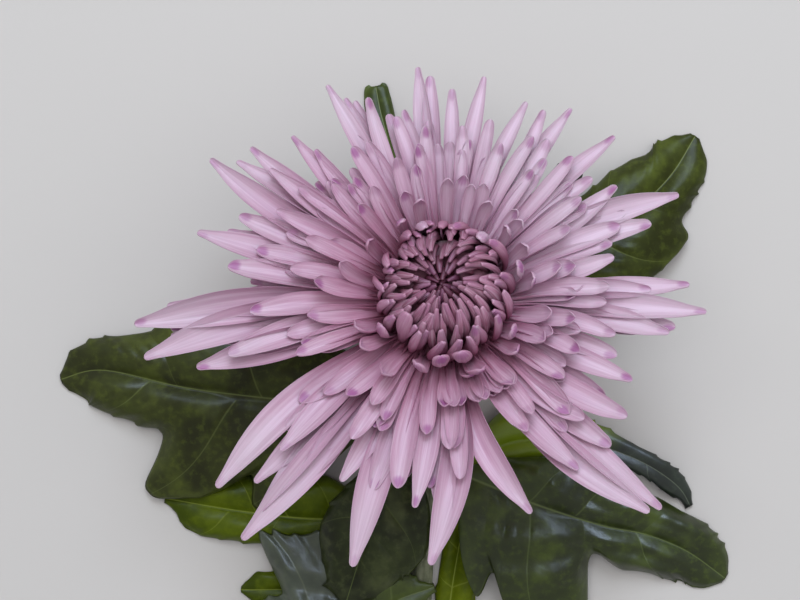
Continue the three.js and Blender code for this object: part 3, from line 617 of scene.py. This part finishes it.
def add_petal(heap, line, level, width, breadth_rows, roll_rows, twist, pale, rim=0.12, grid=RAY_GRID,
              **values):
    """Adds a rolled blade along a line, by `rim` less pale at its edges as a painted shade between
    neighbours. It opens towards ahead x level.
    """
    share = 1 - (1 - np.linspace(0, 1, grid[0])) ** 1.5  # rows lie closer together towards the tip
    u = np.sin(np.linspace(-math.pi / 2, math.pi / 2, grid[1]))[None]
    middle, side, face = petal_axes(line, level, share, twist)
    steps = np.linalg.norm(np.diff(middle, axis=0), axis=1)
    left = np.append(np.cumsum(steps[::-1])[::-1], 0)
    round_end = width * breadth_rows[-1][1] * 0.8
    cap = np.sqrt(np.clip(1 - (1 - left / round_end) ** 2 * (left < round_end), 0.01, 1))
    breadth = width * smooth(breadth_rows, share) * cap
    roll = smooth(roll_rows, share)
    radius = breadth / 2 / np.sin(np.minimum(roll, math.pi / 2))
    theta = roll[:, None] * u
    ridge = RIDGE_HEIGHT * np.cos(u * 3.6 * math.pi) * (1 - u ** 2) * ease(0.1, 0.4, share)[:, None]
    ridge = ridge * (breadth / width)[:, None] ** 2 * min(width / 6, 1)
    out = radius[:, None] * np.sin(theta)
    rise = radius[:, None] * (1 - np.cos(theta)) + ridge
    upper = middle[:, None] + side[:, None] * out[..., None] + face[:, None] * rise[..., None]
    normal = face[:, None] * np.cos(theta)[..., None] - side[:, None] * np.sin(theta)[..., None]
    depth = PETAL_THICKNESS * np.sqrt(1 - u ** 2) * mix(1.6, 1, ease(0, 0.5, share))[:, None]
    depth = depth * np.minimum(cap * 1.4, 1)[:, None]
    lower = upper - normal * depth[..., None]
    # painted shade: the edges are darkened as in the shadow between neighbouring petals
    paleness = pale(share, np.hypot(middle[:, 0], middle[:, 1]))[:, None] - rim * u ** 4
    add_sheet(heap, on_bloom(upper), on_bloom(lower), along=share[:, None], across=u, tip=left[:, None],
              pale=paleness, **values)


def ray_line(index, azimuth, reach, bow, sink=0.0):
    """The middle line of a ray floret: that of the solids, let down by `sink` and with a lifted tip."""
    phi = math.radians(azimuth)
    height = 14 * math.exp((18 - reach) / 22) - reach / 35 + stray(1.8, index, 1) - sink
    rise = height * math.cos(HEAD_TILT) - reach * math.sin(phi) * math.sin(HEAD_TILT)
    spread = (EYE - rise) / EYE
    x = reach * math.cos(phi) * spread
    y = (reach * math.sin(phi) * spread - height * math.sin(HEAD_TILT)) / math.cos(HEAD_TILT)
    turn, length = math.atan2(y, x), math.hypot(x, y)
    outer = float(ease(18, 70, reach))
    hook = 1 - float(ease(20, 36, reach))
    arch = mix(-1.5, 0.06 * reach, float(ease(18, 45, reach)))
    root_radius, root_height = mix(15.8, 11, outer), mix(-6.2, -9.8, outer)
    swing = bow + stray(1, index, 2)
    out, level = facing(turn)

    def line(share):
        bent = hook * np.clip(2 * share - 1, 0, 1.1) ** 2
        radius = mix(root_radius, length + hook, share) - 4 * bent
        lift = mix(root_height, height + 1.8 * hook, share) + arch * 4 * share * (1 - share) - 3.4 * bent
        lift = lift + mix(0.3, 1.2, draw(index, 6)) * ease(0.88, 1, share) * (1 - hook)
        places = out * radius[:, None] + level * (swing * np.sin(math.pi * share))[:, None]
        places[:, 2] = lift
        return places

    return line, level


def add_ray(heap, index, azimuth, reach, bow, sink=0.0, grid=RAY_GRID):
    line, level = ray_line(index, azimuth, reach, bow, sink)
    far = math.sin(math.radians(azimuth))  # 1 on the side away from the stem
    width = mix(4.5, 8, float(ease(30, 80, reach))) * mix(1, 0.76, float(ease(0.1, 0.8, far)))
    width *= mix(0.9, 1.1, draw(index, 3))
    twist = stray(0.25, index, 4)
    sway = stray(0.4, index, 7)
    rolled = mix(0.8, 1.45, draw(index, 8))
    # painted light: petals towards this side are painted paler, as if the light fell most on them
    faded = max(math.cos(math.radians(azimuth - LIT_SIDE)), 0)
    long = float(ease(38, 62, reach + stray(8, index, 10)))
    breadth_rows = [(share, mix(short, slim, long)) for share, slim, short in RAY_BREADTH]
    roll_rows = [(share, roll * (rolled if 0.3 < share < 0.9 else 1)) for share, roll in RAY_ROLL]
    add_petal(heap, line, level, width, breadth_rows, roll_rows,
              lambda share: twist * share + sway * np.sin(math.pi * share),
              # darker towards the bloom's middle: partly the petals' own deeper colour, partly painted shade
              pale=lambda share, radius: 0.34 * faded + 0.7 * radius / 60 + 0.3 * share,
              faded=faded * mix(0.2, 0.65, draw(index, 12)), tone=draw(index, 9),
              mark=mix(0.05, 0.85, draw(index, 11) ** 1.5), grid=grid)


def filler_rays():
    """Further petals under and between the listed ones, never as long as the longest beside them."""
    for k in range(FILLERS):
        azimuth = (k * GOLDEN_ANGLE) % 360
        near = [reach for turn, reach, bow in RAYS if abs((turn - azimuth + 180) % 360 - 180) < 5]
        if near:
            reach = max(near) * mix(0.5, 0.9, draw(FILLER_DRAWS + k, 5))
            if BARE_ARC[0] < azimuth < BARE_ARC[1]:
                reach = min(reach, BARE_REACH)
            yield FILLER_DRAWS + k, azimuth, reach


def petals():
    stops = [(0.0, srgb(124, 62, 82)), (0.2, srgb(152, 94, 118)), (0.4, srgb(182, 130, 156)),
             (0.66, srgb(188, 150, 173)), (1.0, srgb(193, 170, 186))]
    finish = petal_material("petal", stops, srgb(152, 80, 140))
    heaps = {name: Heap() for name in ("outer", "middle", "inner", "under")}
    for index, (azimuth, reach, bow) in enumerate(RAYS):
        name = "outer" if reach > OUTER_REACH else "middle" if reach > MIDDLE_REACH else "inner"
        add_ray(heaps[name], index, azimuth, reach, bow)
    for row in range(PETAL_ROWS):
        # darker towards the root: partly the claws' own colour, partly painted shade
        add_fingers(heaps["inner"], row, CLAW_ROLL, lambda share, radius: 0.05 + 0.5 * share, 0.6)
    for index, azimuth, reach in filler_rays():
        add_ray(heaps["under"], index, azimuth, reach, 0, sink=FILLER_SINK, grid=PLAIN_GRID)
    for name, heap in heaps.items():
        heap.piece("petals_" + name, finish, "petal", "ray_florets")


# ---- the button ----

# Rows of incurved florets from the button's rim inward: how many, the places (radius, height) of a
# floret's root, of its bulge half way and of its tip, and its width. The first PETAL_ROWS of them are
# coloured as petals. The solids have six rows, of fewer and wider florets, and the first is petals.
FINGER_ROWS = [
    (17, (16, -6.2), (17.2, 3), (14.6, 9.6), 2.9),
    (17, (14.4, -5.6), (15.8, 2), (13, 9), 2.6),
    (21, (13, -5), (14.8, 3.2), (11.2, 10.2), 2.3),
    (24, (11.8, -4.4), (13.7, 4.6), (9, 11.4), 2.15),
    (22, (9.8, -1), (11.8, 6.6), (6.8, 12.2), 2.0),
    (20, (7.8, 2), (9.8, 8), (4.9, 11.6), 1.8),
    (15, (5.4, 4), (7.3, 8.3), (3.3, 10.1), 1.6),
    (10, (2.8, 5), (4.4, 7.5), (1.7, 8.6), 1.4),
    (6, (1.2, 5.6), (2.4, 7), (0.6, 7.8), 1.2),
]
PETAL_ROWS = 2
CORE_PROFILE = [(9.5, -4.9), (12.6, -3.8), (12.8, 0), (11.8, 3.6), (10, 6.2), (7.8, 7.4), (5.6, 7),
                (3.8, 6.2), (1.8, 5.8), (0.6, 5.8)]
FINGER_BREADTH = [(0, 0.4), (0.25, 0.7), (0.45, 0.96), (0.6, 1), (0.78, 0.82), (0.92, 0.5), (1, 0.24)]
FINGER_ROLL = [(0, 1.7), (0.5, 1.3), (0.85, 1.15), (1, 1.3)]
CLAW_ROLL = [(0, 1.4), (0.5, 1.0), (0.85, 1.05), (1, 1.5)]


def finger_line(index, turn, root, bulge, tip):
    """An incurved floret's back, by the solids' rule but straying farther: up, over its bulge and in."""
    shift = np.array([stray(1.1, index, 23), mix(-1.2, 0.7, draw(index, 24))])
    root, bulge, tip = np.array(root), bulge + shift / 2, tip + shift
    control = 2 * bulge - (root + tip) / 2
    swirl = mix(-0.12, 0.32, draw(index, 21))

    def line(share):
        s = share[:, None]
        radius, height = (root * (1 - s) ** 2 + control * 2 * s * (1 - s) + tip * s ** 2).T
        bearing = turn + swirl * share ** 2
        beside = NEST_SHIFT * (1 - radius / NEST_REACH)[:, None]
        plan = np.stack([np.cos(bearing), np.sin(bearing)], -1) * radius[:, None] + beside
        return np.column_stack([plan, height])

    return line


def add_fingers(heap, row, roll_rows, pale, mark):
    """Adds one row of FINGER_ROWS, less pale away from the stem as a painted shade. The florets are numbered
    through.
    """
    count, root, bulge, tip, width = FINGER_ROWS[row]
    first = FINGER_DRAWS + sum(item[0] for item in FINGER_ROWS[:row])
    for index in range(first, first + count):
        turn = (index - first + 0.5 * (row % 2) + stray(0.32, index, 22)) / count * 2 * math.pi
        lean = stray(0.75, index, 26)
        # painted shade: florets on the side away from the stem are painted darker, where they turn from the
        # light
        deep = mix(1, 0.72, max(math.sin(turn), 0))
        add_petal(heap, finger_line(index, turn, root, bulge, tip), facing(turn)[1],
                  width * mix(0.9, 1.24, draw(index, 27)), FINGER_BREADTH, roll_rows,
                  # painted shade at the florets' edges, stronger than at the petals'
                  lambda share, lean=lean: lean + 0 * share, rim=0.22, grid=PLAIN_GRID,
                  pale=lambda share, radius, deep=deep: pale(share, radius) * deep,
                  faded=0, tone=draw(index, 28), mark=mark * draw(index, 29))


def button():
    heap = Heap()
    for row in range(PETAL_ROWS, len(FINGER_ROWS)):
        depth = (row - PETAL_ROWS) / (len(FINGER_ROWS) - PETAL_ROWS - 1)
        # darker towards the roots and the inner rows: partly the florets' own deeper colour, partly painted
        # shade in the button's hollow
        add_fingers(heap, row, FINGER_ROLL,
                    lambda share, radius, depth=depth: share ** 1.2 * mix(1.02, 0.05, depth ** 1.4), 0.25)
    stops = [(0.0, srgb(80, 34, 46)), (0.3, srgb(102, 52, 70)), (0.6, srgb(140, 84, 106)),
             (0.85, srgb(170, 116, 140)), (1.0, srgb(186, 138, 160))]
    heap.piece("button_florets", petal_material("button_petal", stops, srgb(150, 88, 138)), "petal_button",
               "crown_florets")
    core = Heap()
    add_turned(core, CORE_PROFILE)
    dark = plant_material("button_core", srgb(96, 50, 66), srgb(122, 74, 92), 300.0, 0.8)
    core.piece("button_core", dark, "petal_button", "crown_florets")


# ---- the cup of bracts ----

# Profiles as (radius, height), and rows of bracts as (how many, radius at the foot, radius at the tip).
BRACT_BACK = [(0, -19.2), (5, -18.9), (9, -17.8), (13, -15.2), (16, -11.6), (19, -8)]
CUP_PROFILE = [(3, -18.3), (6.5, -18), (10.5, -16.4), (13.6, -13.8), (15.2, -11), (14.2, -10.6), (11, -12.6)]
CUP_SIDES = 56
BOWL_PROFILE = [(3, BOWL_FOOT), (7, BOWL_FOOT + 0.6), (11.8, -12.4), (14.2, -9.2), (17.8, -7.6),
                (17.6, -5.4), (13, -5)]
BRACT_ROWS = [(16, 7.5, 17.2), (14, 5.5, 14.6), (11, 3.6, 11.4)]
BRACT_DRAWS_A_ROW = 40


def bract_line(out, foot, tip, row):
    """A bract's back, which lies on the cup and farther out with each row."""
    def line(share):
        radius = mix(foot, tip, share)
        places = out * (radius + 0.25 * row)[:, None]
        places[:, 2] = smooth(BRACT_BACK, radius) - 0.3 - 0.35 * row
        return places

    return line


def involucre():
    cup = Heap()
    add_turned(cup, CUP_PROFILE, CUP_SIDES)
    green = plant_material("bract", srgb(72, 92, 44), srgb(112, 128, 72), 220.0, 0.6)
    cup.piece("involucre_cup", green, "bract", "involucre")
    heap = Heap()
    for row, (count, foot, tip) in enumerate(BRACT_ROWS):
        for k in range(count):
            index = BRACT_DRAWS + row * BRACT_DRAWS_A_ROW + k
            out, level = facing((k + row * 0.5 + stray(0.12, index, 31)) / count * 2 * math.pi)
            add_petal(heap, bract_line(out, foot, tip, row), level, 5.2 - 0.5 * row,
                      [(0, 0.8), (0.4, 1), (0.75, 0.8), (1, 0.3)], [(0, 0.5), (1, 0.5)],
                      lambda share: 0 * share, lambda share, radius: share, grid=PLAIN_GRID)
    heap.piece("involucre_bracts", green, "bract", "involucre")


def receptacle():
    """The bowl under the petals, which they grow from."""
    heap = Heap()
    add_turned(heap, BOWL_PROFILE)
    flesh = plant_material("receptacle", srgb(92, 46, 60), srgb(116, 66, 84), 250.0, 0.7)
    heap.piece("receptacle", flesh, "petal", "ray_florets")


# ---- stem ----

STEM_RINGS = 220
STEM_SIDES = 60


def stem_points(shares):
    """The stem's middle line, whose last two places lie on the bloom's own axis."""
    route = [seen(place) for place in STEM_ROUTE]
    route += [on_bloom((0, 0, height)) for height in (CUP_FOOT - 4, CUP_FOOT + 0.6)]
    places, ahead = spline(route, shares)
    places[:, 2] = np.maximum(places[:, 2], STEM_RADIUS)
    return places, ahead


def stem():
    shares = np.linspace(0, 1, STEM_RINGS)
    middle, ahead = stem_points(shares)
    side = unit(np.array([1.0, 0, 0]) - ahead * ahead[:, :1])
    face = np.cross(side, ahead)
    angle = np.linspace(0, 2 * math.pi, STEM_SIDES, endpoint=False)[None]
    ribs = 0.06 * np.cos(6 * angle) + 0.025 * np.cos(13 * angle + 3 * shares[:, None])
    swell = 0.05 * np.sin(shares * 41)[:, None] + 0.16 * ease(0.93, 1, shares)[:, None]
    radius = STEM_RADIUS * (0.97 + ribs + swell)
    rings = (middle[:, None] + side[:, None] * (radius * np.cos(angle))[..., None]
             + face[:, None] * (radius * np.sin(angle))[..., None])
    rings[..., 2] = np.maximum(rings[..., 2], 0)
    heap = Heap()
    add_tube(heap, rings[:, ::-1])
    green = plant_material("stem", srgb(92, 98, 70), srgb(126, 130, 104), 320.0, 0.62)
    heap.piece("stem_ribbed", green, "stem", "stem")


# ---- leaves ----

LEAF_THICKNESS = 0.45
LEAF_GRIDS = {1: (90, 33), 2: (120, 41), 3: (170, 53)}  # points along a leaf and across it
VEIN_GAP = 0.19  # the most, as a share of the midrib, that side veins stand apart
FAINT = 0.14  # how much farther off, in millimetres, a faint vein counts as

# Heights of a blade's forms where it is narrow and where it is wide.
PILLOW = (0.35, 2.3)
PANEL = (0.2, 1.0)
ROLLED_MARGIN = (0.4, 1.4)
WAVE_HEIGHT = 0.7
PUCKER_HEIGHT = 0.14

# Each finish: the slot of its solid, the gloss, then the blade's dark and light greens, its bright patches
# and veins, and at the last its inner half, where that is paler.
LEAF_FINISHES = {
    "deep": ("leaf_dark", 0.16, (44, 46, 26), (62, 68, 32), (86, 96, 38), (102, 112, 62)),
    "waxy": ("leaf_dark", 0.6, (36, 44, 12), (54, 66, 16), (78, 94, 22), (94, 108, 54)),
    "fresh": ("leaf_dark", 0.08, (48, 52, 24), (66, 74, 32), (88, 100, 38), (112, 122, 66)),
    "dusk": ("leaf_dark", 0.3, (30, 34, 18), (46, 54, 24), (82, 90, 54), (84, 96, 50)),
    "moss": ("leaf_dark", 0.1, (58, 68, 34), (80, 92, 42), (90, 104, 48), (124, 136, 90)),
    "lime": ("leaf_light", 0.1, (58, 70, 12), (80, 94, 16), (98, 112, 20), (124, 136, 52)),
    # bank: its inner half is partly the leaf's own lime and partly painted light, brightened against the
    # petals' shade
    "bank": ("leaf_light", 0.7, (28, 34, 28), (42, 50, 42), (60, 72, 56), (92, 100, 84), (116, 138, 20)),
    # bright: a pale underside, partly its own colour and partly painted light shining through the leaf
    "bright": ("leaf_light", 0.1, (78, 92, 16), (102, 116, 20), (116, 130, 22), (138, 150, 58)),
    # slate: a grey green that stands partly for painted sheen on the leaf
    "slate": ("leaf_grey", 0.6, (58, 64, 54), (80, 88, 76), (88, 98, 70), (106, 114, 92)),
}


def vein_shares(blade, column):
    """Where side veins leave the midrib, and how faint each is: one to each lobe, and faint ones between."""
    rows = [row for row in blade if row[0] > 0.12]
    peaks = [b[0] for a, b, c in zip(rows, rows[1:], rows[2:]) if b[column] >= max(a[column], c[column])]
    shares = sorted({rows[0][0]} | set(peaks) | {0.9})
    found = []
    for low, high in zip(shares, shares[1:]):
        parts = max(1, round((high - low) / VEIN_GAP))
        found += [(mix(low, high, k / parts), 0 if low in peaks and k == 0 else 1) for k in range(parts)]
    return np.array(found)


def teeth(shares, length, gap, seed):
    """Small forward-pointing teeth along a margin, the largest 1 high, about a gap apart."""
    run = shares * length / gap + 0.35 * np.sin(shares * 17 + seed)
    part = run - np.floor(run)
    size = np.abs(np.sin(np.floor(run) * 2.4 + seed))
    return size * np.where(part < 0.8, (part / 0.8) ** 3, (1 - part) / 0.2) * ease(0.14, 0.22, shares)


def blade_relief(run, share, reach, to_vein, along, seed, side, folds):
    """The height of a blade over its level: sunk veins, full panels, folds and margins rolled down."""
    wide = ease(3, 14, reach)
    pillow = mix(*PILLOW, wide) * (1 - np.exp(-run / mix(1, 3.8, wide)))
    panel = mix(*PANEL, wide) * (1 - np.exp(-to_vein / 2.4)) * ease(0, 5, run)
    wave = np.sin(along / 6.5 + seed + 2 * side) * share ** 2 * WAVE_HEIGHT * wide
    pucker = np.sin(along * 1.3 + 1.6 * np.sin(run / 3 + seed) + 3 * side) * np.sin(run / 4.5 + along / 9)
    fold = np.sin(run / 1.8 + along / 7 + 1.4 * np.sin(along / 8 + seed) + side)
    wave = wave + PUCKER_HEIGHT * wide * pucker * ease(4, 9, run)
    wave = wave + folds * fold * ease(3, 8, run) * (1 - share ** 2)
    rolled = mix(*ROLLED_MARGIN, wide) * np.clip((share - 0.75) / 0.25, 0, 1) ** 2
    return (pillow + panel) * (1 - share ** 4) + wave - rolled


def leaf_sides(blade, veins, shares, share, sweep, length, jagged, tooth_gap, seed):
    """For each side of a blade, by its sign: how far its points lie from the midrib, how far the side
    reaches there, and how far they are from a side vein."""
    runs, reaches, to_veins = {}, {}, {}
    for sign, column in ((1, 1), (-1, 2)):
        reach = smooth([(row[0], row[column]) for row in blade], shares)[:, None]
        jag = teeth(shares, length, tooth_gap, seed + 2 * sign)[:, None] * jagged
        reaches[sign] = reach
        runs[sign] = np.maximum(share * reach + jag * ease(0.8, 1, share), 0)
        places, faint = veins[sign].T
        apart = np.abs(shares[:, None] - places) * length * np.sin(sweep)
        to_veins[sign] = (apart + FAINT * faint).min(axis=1, keepdims=True)
    return runs, reaches, to_veins


def add_leaf(heap, name, rib, blade, fall=(0, 0), size=1, folds=0.2, tooth=0.9, tooth_gap=8, sweep=(70, 38)):
    """Adds a leaf. `folds` and `tooth` are heights, and `sweep` is the angle between midrib and side veins
    at the stalk and at the tip. A tooth of 0 leaves the margin plain and the tip broad."""
    seed = sum(map(ord, name)) % 97
    route = [seen(place) for place in rib]
    length = np.linalg.norm(np.diff(route, axis=0), axis=1).sum()
    veins = {1: vein_shares(blade, 1), -1: vein_shares(blade, 2)}
    rows, columns = LEAF_GRIDS[size]
    rooted = [veins[sign][:, 0] for sign in veins]
    shares = np.unique(np.round(np.concatenate([np.linspace(0, 1, rows), *rooted]), 5))
    middle, ahead = spline(route, shares)
    up = np.array([0, 0, 1.0])
    level = unit(np.cross(up, ahead))
    swept = mix(*sweep, shares)
    angle = np.radians(mix(swept, 90, ease(0.75, 1, shares)) if tooth else swept)[:, None]
    even = np.linspace(-1, 1, columns)
    part = mix(np.sin(even * math.pi / 2), even, 0.4)[None]
    side = np.sign(part)
    share = np.abs(part)
    stalk = 1 - ease(0.02, 0.3, shares)[:, None]
    found = leaf_sides(blade, veins, shares, share, angle, length, tooth * (1 - stalk), tooth_gap, seed)
    run, reach, to_vein = (np.where(side > 0, values[1], values[-1]) for values in found)
    back = 0.7 * run * share * (1 - share)
    forward = run * np.cos(angle) * (1 - ease(0.98, 1, shares)[:, None]) - back
    places = (middle[:, None] + ahead[:, None] * forward[..., None]
              + level[:, None] * (run * np.sin(angle) * side)[..., None])
    relief = blade_relief(run, share, reach, to_vein, shares[:, None] * length, seed, side, folds)
    height = 0.08 * run * (1 - share) - np.where(side > 0, *fall) * run + (1 - stalk) * relief
    thickness = mix(LEAF_THICKNESS, STALK_THICKNESS, stalk)
    places[..., 2] = np.maximum(places[..., 2] + height, thickness / 2 + 0.02)
    half = thickness / 2 * np.sqrt(1 - part ** 2 * 0.999)
    upper = places + up * half[..., None]
    lower = places - up * half[..., None]
    lower[..., 2] = np.maximum(lower[..., 2], 0.005)
    add_sheet(heap, upper[:, ::-1], lower[:, ::-1], along=shares[:, None], margin=share[:, ::-1],
              to_rib=(run * side)[:, ::-1], to_vein=mix(to_vein, 9.0, stalk)[:, ::-1])


def leaves():
    finishes = {}
    for key, (slot, gloss, *colors) in LEAF_FINISHES.items():
        finishes[key] = leaf_material("leaf_" + key, gloss, *(srgb(*color) for color in colors))
    for name, leaf in LEAVES.items():
        key = leaf["finish"]
        heap = Heap()
        add_leaf(heap, name, **{part: leaf[part] for part in leaf if part != "finish"})
        heap.piece(name + "_blade", finishes[key], LEAF_FINISHES[key][0], name)


# ---- studio ----

FLOOR_LEVEL = -0.0004  # metres, just under the lowest point of the flower
FLOOR_REACH = 3
LENS = 100
SENSOR_WIDTH = 36
VIEW_WIDTH = 800  # pixels, as are the two shifts
VIEW_SHIFT = (-45, -10)
SKY = (0.97, 0.98, 1.0, 1)
SKY_STRENGTH = 0.37
WINDOW_PLACE = (0.1, 0.75, 0.95)

# Each light: its place from the layout's origin, in metres, its size, its power and its colour. The sheen is
# seen only in reflections, and the others are seen in none.
LIGHTS = {
    "key": ((-0.25, 0.3, 1.2), 0.9, 5.3, (1, 1, 1)),
    "fill": ((0.7, 0.1, 1.0), 1.2, 3.4, (1, 1, 1)),
    "window": (WINDOW_PLACE, 0.55, 6.4, (0.84, 0.91, 1.0)),
    "sheen": (WINDOW_PLACE, 0.7, 26, (0.62, 0.76, 1.0)),
}


def camera():
    data = bpy.data.cameras.new("camera")
    data.lens = LENS
    data.sensor_width = SENSOR_WIDTH
    data.shift_x, data.shift_y = (shift / VIEW_WIDTH for shift in VIEW_SHIFT)
    data.clip_start = 0.01
    made = add_object("camera", data)
    made.location = (ORIGIN + [0, 0, EYE + HEAD_HEIGHT]) * MM
    bpy.context.scene.camera = made


def light(name, offset, size, power, color):
    """Adds a square light that is aimed at the layout's origin."""
    data = bpy.data.lights.new(name, "AREA")
    data.color = color
    data.size = size
    data.energy = power
    aim = ORIGIN * MM
    place = aim + offset
    x, y, z = aim - place
    made = add_object(name, data)
    made.location = place
    made.rotation_euler = (math.atan2(math.hypot(x, y), -z), 0, math.atan2(y, x) - math.pi / 2)
    made.visible_glossy = name == "sheen"
    made.visible_diffuse = name != "sheen"


def floor():
    mesh = bpy.data.meshes.new("floor")
    near, far = -FLOOR_REACH, FLOOR_REACH
    corners = [(x, y, FLOOR_LEVEL) for x, y in ((near, near), (far, near), (far, far), (near, far))]
    mesh.from_pydata(corners, [], [(0, 1, 2, 3)])
    shade = Shade("floor")
    shade.set(Base_Color=(0.59, 0.572, 0.56, 1), Roughness=0.9, Specular_IOR_Level=0.1)
    mesh.materials.append(shade.material)
    add_object("floor", mesh)


def studio():
    scene = bpy.context.scene
    scene.view_settings.view_transform = "Standard"
    scene.world = bpy.data.worlds.new("studio")
    scene.world.use_nodes = True
    sky = scene.world.node_tree.nodes["Background"].inputs
    sky["Color"].default_value = SKY
    sky["Strength"].default_value = SKY_STRENGTH
    for name, values in LIGHTS.items():
        light(name, *values)
    floor()


camera()
studio()
petals()
button()
receptacle()
involucre()
stem()
leaves()
